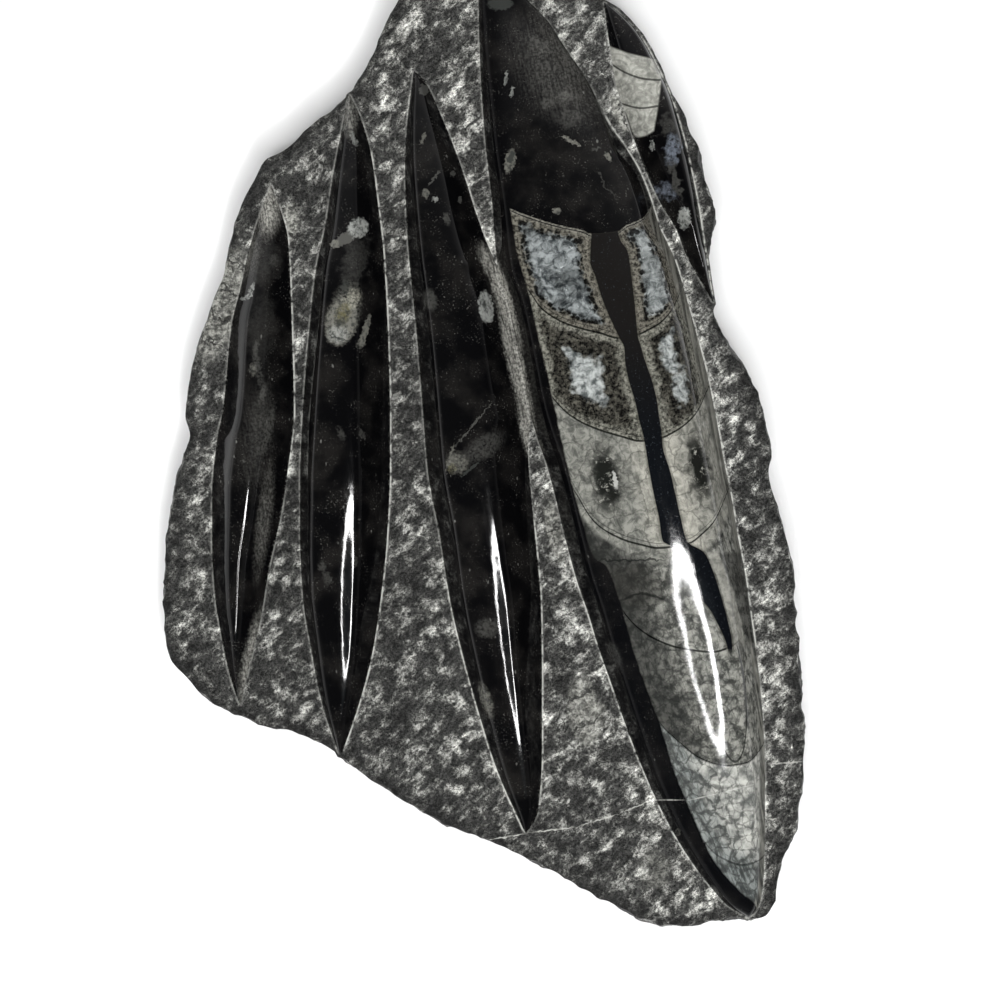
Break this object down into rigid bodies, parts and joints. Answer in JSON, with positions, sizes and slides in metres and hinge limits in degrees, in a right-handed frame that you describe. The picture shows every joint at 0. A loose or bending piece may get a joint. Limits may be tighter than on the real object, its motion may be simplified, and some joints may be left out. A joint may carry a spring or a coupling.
{
  "type": "orthoceras fossil plate",
  "caption": "Slab of black limestone with polished tapering spindles carved out of a pecked ground, the widest cut through a chambered straight-shelled fossil.",
  "frame": {"origin": "middle of the footprint, on the flat back face that the slab lies on", "axes": "+Z out of the carved face, +Y towards the slab's narrow end, +X to the right of the carved face"},
  "size_m": [0.1621, 0.2492, 0.0408],
  "materials": {
    "black_limestone": "polished spindles on a rough pecked ground"
  },
  "bodies": {
    "root": {"fossil_slab": "black_limestone"}
  },
  "joints": []
}
